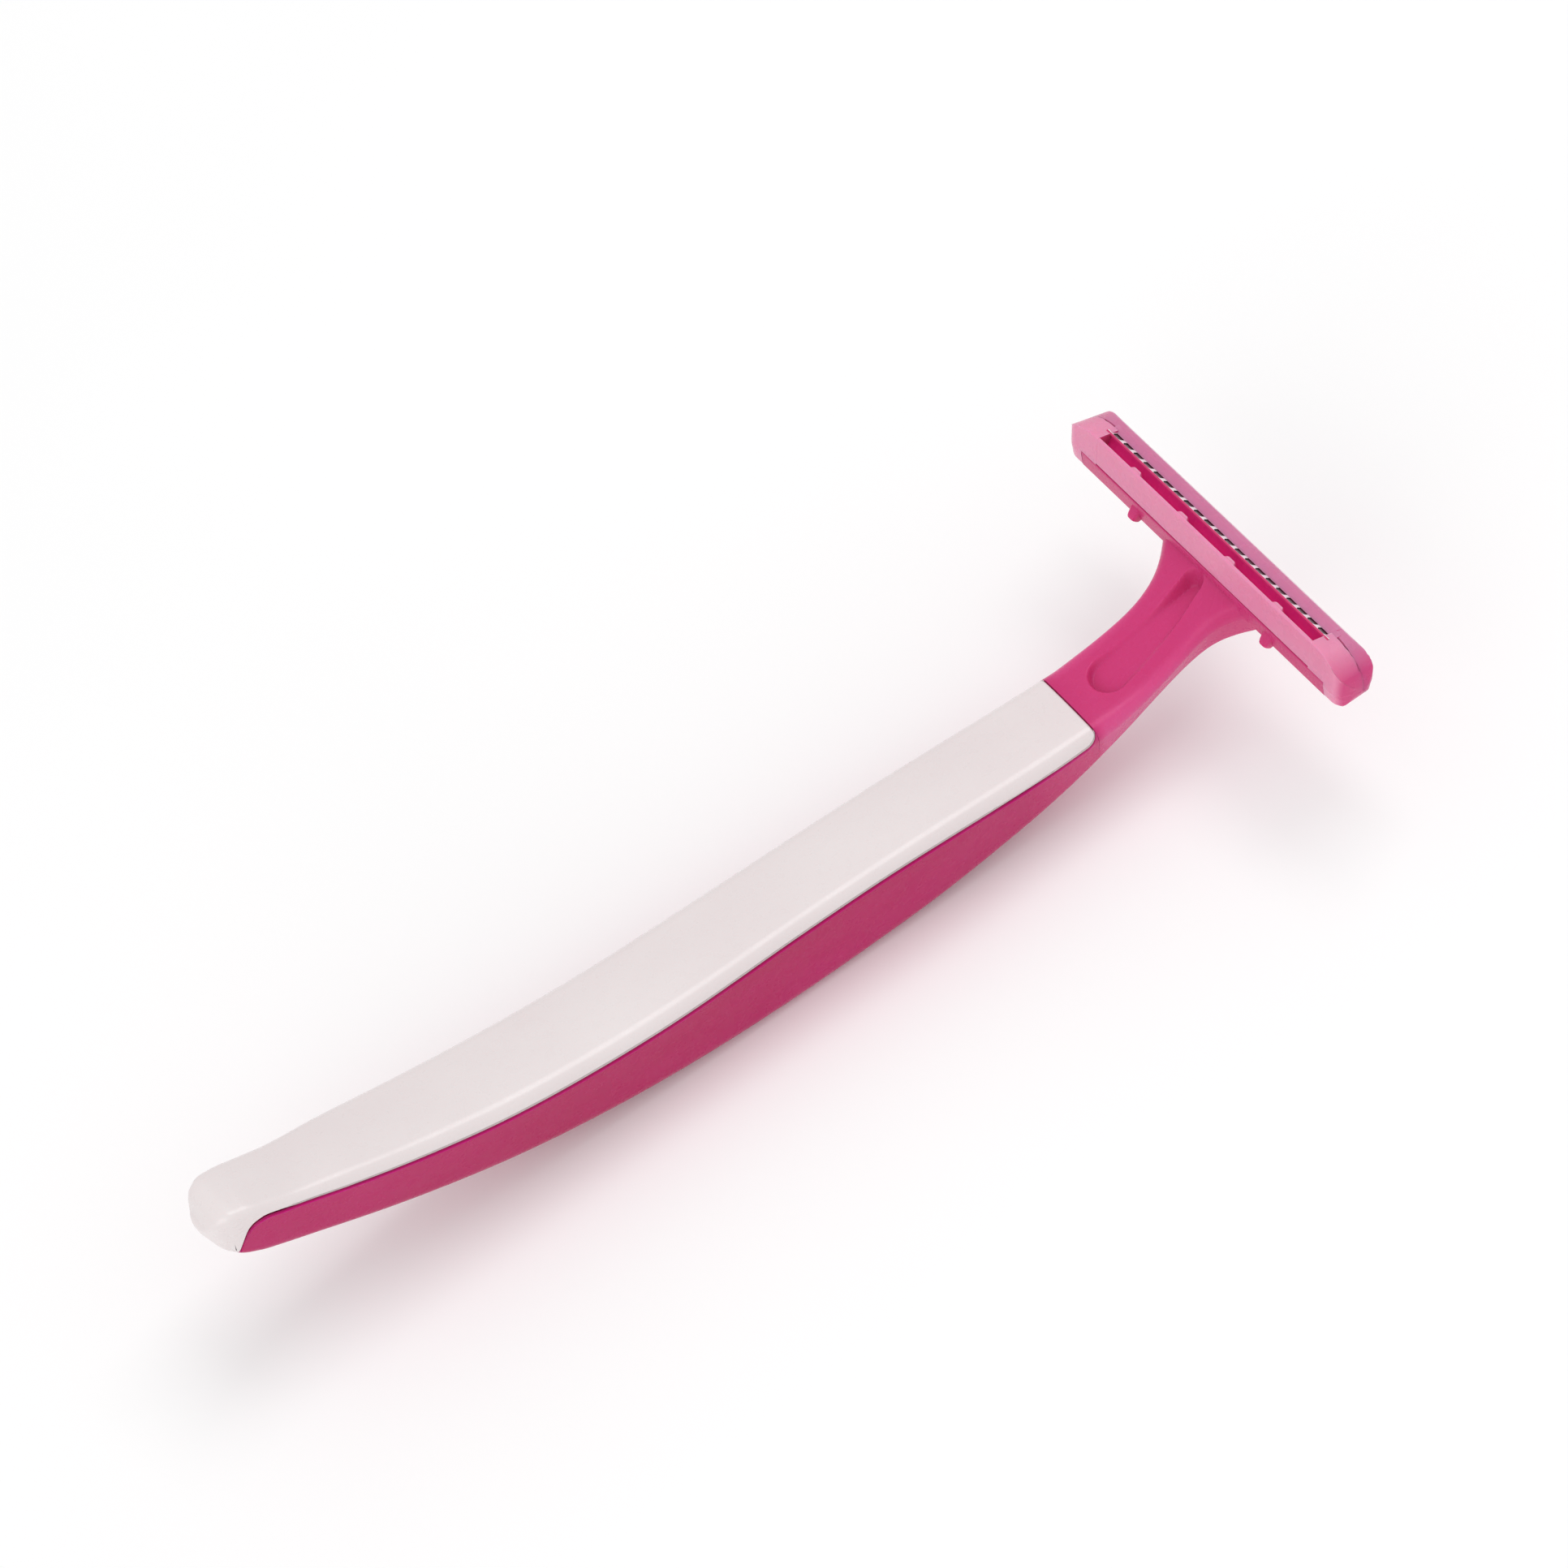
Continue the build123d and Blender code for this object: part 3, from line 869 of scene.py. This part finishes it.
def row_transform():
    """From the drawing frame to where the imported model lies."""
    turn = Matrix.Rotation(-REST_PITCH, 4, "Y")
    low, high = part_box("blade")
    edge = turn @ Vector((HEAD_X + BLADE_EDGE[0], 0, BLADE_EDGE[1])) * MM
    move = Vector((low.x, 0, high.z)) - Vector((edge.x, 0, edge.z))
    return Matrix.Translation(move) @ turn @ Matrix.Scale(MM, 4)


TO_ROW = row_transform()


def finish_piece(piece, node, material):
    """Lay a drawn piece where its CAD node lies, and let it stand for that node."""
    heal(piece.data)
    piece.data.transform(TO_ROW)
    for vert in piece.data.vertices:
        vert.co.z = max(vert.co.z, 0.0)
    piece.data.update()
    for face in piece.data.polygons:
        face.use_smooth = True
    piece.data.set_sharp_from_angle(angle=SHARP_ANGLE)
    dress(piece, material)
    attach(piece, "root")
    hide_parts(node)


def painted_neck_edge_highlight(m):
    """Painted highlight: paler bands are painted along the neck's two upper edges, for the light that leaves
    the thin plastic there.
    """
    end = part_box("grip_cover")[1].x
    side = m.span(m.math("ABSOLUTE", m.axis("Y"), 0.0), 2.9 * MM, 4.6 * MM, 0.0, 0.55)
    neck = m.span(m.axis("X"), end, end + 1.0 * MM)
    head = m.span(m.axis("X"), end + 15.0 * MM, end + 10.0 * MM)
    share = m.math("MULTIPLY", m.math("MULTIPLY", side, neck), head)
    m.tint(share, (0.74, 0.13, 0.34))


def painted_neck_glow(m):
    """Painted glow: the neck is painted brighter than the deep belly, for the extra light that comes through
    the thin plastic.
    """
    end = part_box("grip_cover")[1].x
    share = m.span(m.axis("X"), end - 9.0 * MM, end + 2.0 * MM)
    m.tint(share, (0.60, 0.045, 0.185))


def painted_end_shade(m):
    """Painted shade: faces that point along the head's length, its end faces, are painted a deeper pink, for
    how light passing through the solid blocks deepens their colour.
    """
    normal = m.add("SeparateXYZ")
    m.link(m.tree.nodes["Texture Coordinate"].outputs["Normal"], normal.inputs[0])
    share = m.span(m.math("ABSOLUTE", normal.outputs["Y"], 0.0), 0.25, 0.8, 0.0, 0.92)
    m.tint(share, (0.60, 0.055, 0.20))


def painted_foil_shade_and_reflection(m):
    """Painted shade and painted reflection: foil faces that do not face up, the punched walls, are painted
    near black as shade, and the rolled front lip is painted crimson as the seat's reflection in it.
    """
    turn = TO_ROW.to_3x3().normalized()
    back = turn @ Vector((math.cos(BLADE_SLOPE), 0, -math.sin(BLADE_SLOPE)))
    above = turn @ Vector((math.sin(BLADE_SLOPE), 0, math.cos(BLADE_SLOPE)))
    edge = back.dot(TO_ROW @ Vector((HEAD_X + BLADE_EDGE[0], 0, BLADE_EDGE[1])))
    facing = m.along(m.tree.nodes["Texture Coordinate"].outputs["Normal"], above)
    socket = m.shader.inputs["Base Color"]
    # painted shade: faces that do not face up are painted near black
    color = m.mix(m.span(facing, 0.75, 0.95), (0.05, 0.02, 0.03), socket.links[0].from_socket)
    lip = m.span(m.along(m.place, back), edge - 0.02 * MM, edge - 0.05 * MM)
    # painted reflection: the rolled front lip is painted crimson, as the seat mirrored in it
    m.link(m.mix(lip, color, (0.62, 0.03, 0.15)), socket)


def painted_seat_glow(m):
    """Painted glow: the seat between the guard and the cap is painted a deeper, brighter crimson, for the
    light that reaches it there only through plastic.
    """
    low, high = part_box("blade")
    along = m.span(m.axis("X"), low.x - 1.1 * MM, low.x - 0.9 * MM)
    height = m.span(m.axis("Z"), high.z - 3.4 * MM, high.z - 2.9 * MM)
    share = m.math("MULTIPLY", along, height)
    m.tint(share, (1.0, 0.035, 0.30))


pink = tinted_plastic("handle_pink", (0.42, 0.002, 0.085), (0.49, 0.004, 0.125), (0.66, 0.08, 0.26), 0.3)
# painted glow: the neck is tinted brighter than the belly
painted_neck_glow(pink)
# painted highlight: paler bands along the neck's upper edges
painted_neck_edge_highlight(pink)
# painted glow: the seat in the slot is tinted bright crimson
painted_seat_glow(pink)
pale = tinted_plastic("head_pink", (0.77, 0.26, 0.42), (0.81, 0.30, 0.46), (0.88, 0.46, 0.60), 0.3, 0.5)
mauve = tinted_plastic("cap_mauve", (0.60, 0.18, 0.33), (0.65, 0.21, 0.37), (0.74, 0.34, 0.50), 0.3, 0.5)
# painted shade: the head pieces' end faces are tinted deeper by their facing
painted_end_shade(pale)
painted_end_shade(mauve)

finish_piece(make_handle(), "handle_core", pink.material)
finish_piece(make_cover(), "grip_cover", white_cover())
finish_piece(make_guard(), "guard_frame", pale.material)
finish_piece(make_cap(), "cap_bar", mauve.material)
# Painted shade: the blade's steel is given a near-black colour, so the foil's windows over it read dark.
blade = steel("blade_steel", (0.012, 0.003, 0.005), (0.028, 0.008, 0.012), 0.35)
foil = steel("guard_steel", (0.90, 0.83, 0.87), (0.97, 0.93, 0.95), 0.25, 0.35)
# painted shade in the foil's punched walls and painted reflection on its lip
painted_foil_shade_and_reflection(foil)
dress(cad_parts["blade"], blade.material)
dress(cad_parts["blade_guard"], foil.material)


# ---------------------------------------------------------------- camera, light and floor

def add_camera():
    data = bpy.data.cameras.new("camera")
    data.lens = LENS
    data.sensor_width = SENSOR
    data.clip_start = CLIP_START
    camera = bpy.data.objects.new("camera", data)
    place = Vector(CAMERA_PLACE) * MM
    look = (Vector(CAMERA_AIM) * MM - place).to_track_quat("-Z", "Y").to_matrix().to_4x4()
    camera.matrix_world = Matrix.Translation(place) @ look @ Matrix.Rotation(CAMERA_ROLL, 4, "Z")
    bpy.context.scene.collection.objects.link(camera)
    bpy.context.scene.camera = camera


def add_light(name, place, size, power):
    """Square lamp that faces the middle of the floor."""
    data = bpy.data.lights.new(name, "AREA")
    data.size = size
    data.energy = power
    light = bpy.data.objects.new(name, data)
    place = Vector(place)
    light.matrix_world = Matrix.Translation(place) @ (-place).to_track_quat("-Z", "Y").to_matrix().to_4x4()
    bpy.context.scene.collection.objects.link(light)


def add_floor():
    mesh = bpy.data.meshes.new("floor")
    corners = [(FLOOR_HALF * x, FLOOR_HALF * y, 0) for x, y in ((-1, -1), (1, -1), (1, 1), (-1, 1))]
    mesh.from_pydata(corners, [], [(0, 1, 2, 3)])
    floor = new_object("floor", mesh)
    m = Nodes("floor_white")
    tone = m.span(m.noise(9.0, 2.0), 0.3, 0.7)
    m.link(m.mix(tone, (0.96, 0.96, 0.96), (0.98, 0.98, 0.98)), m.shader.inputs["Base Color"])
    m.set(Roughness=0.85)
    dress(floor, m.material)


def add_world():
    world = bpy.data.worlds.new("world")
    world.use_nodes = True
    background = world.node_tree.nodes["Background"]
    background.inputs["Color"].default_value = (1, 1, 1, 1)
    background.inputs["Strength"].default_value = WORLD_STRENGTH
    bpy.context.scene.world = world


add_camera()
add_world()
add_floor()
add_light("key", *KEY_LIGHT)
add_light("fill", *FILL_LIGHT)
bpy.context.scene.view_settings.view_transform = "Standard"
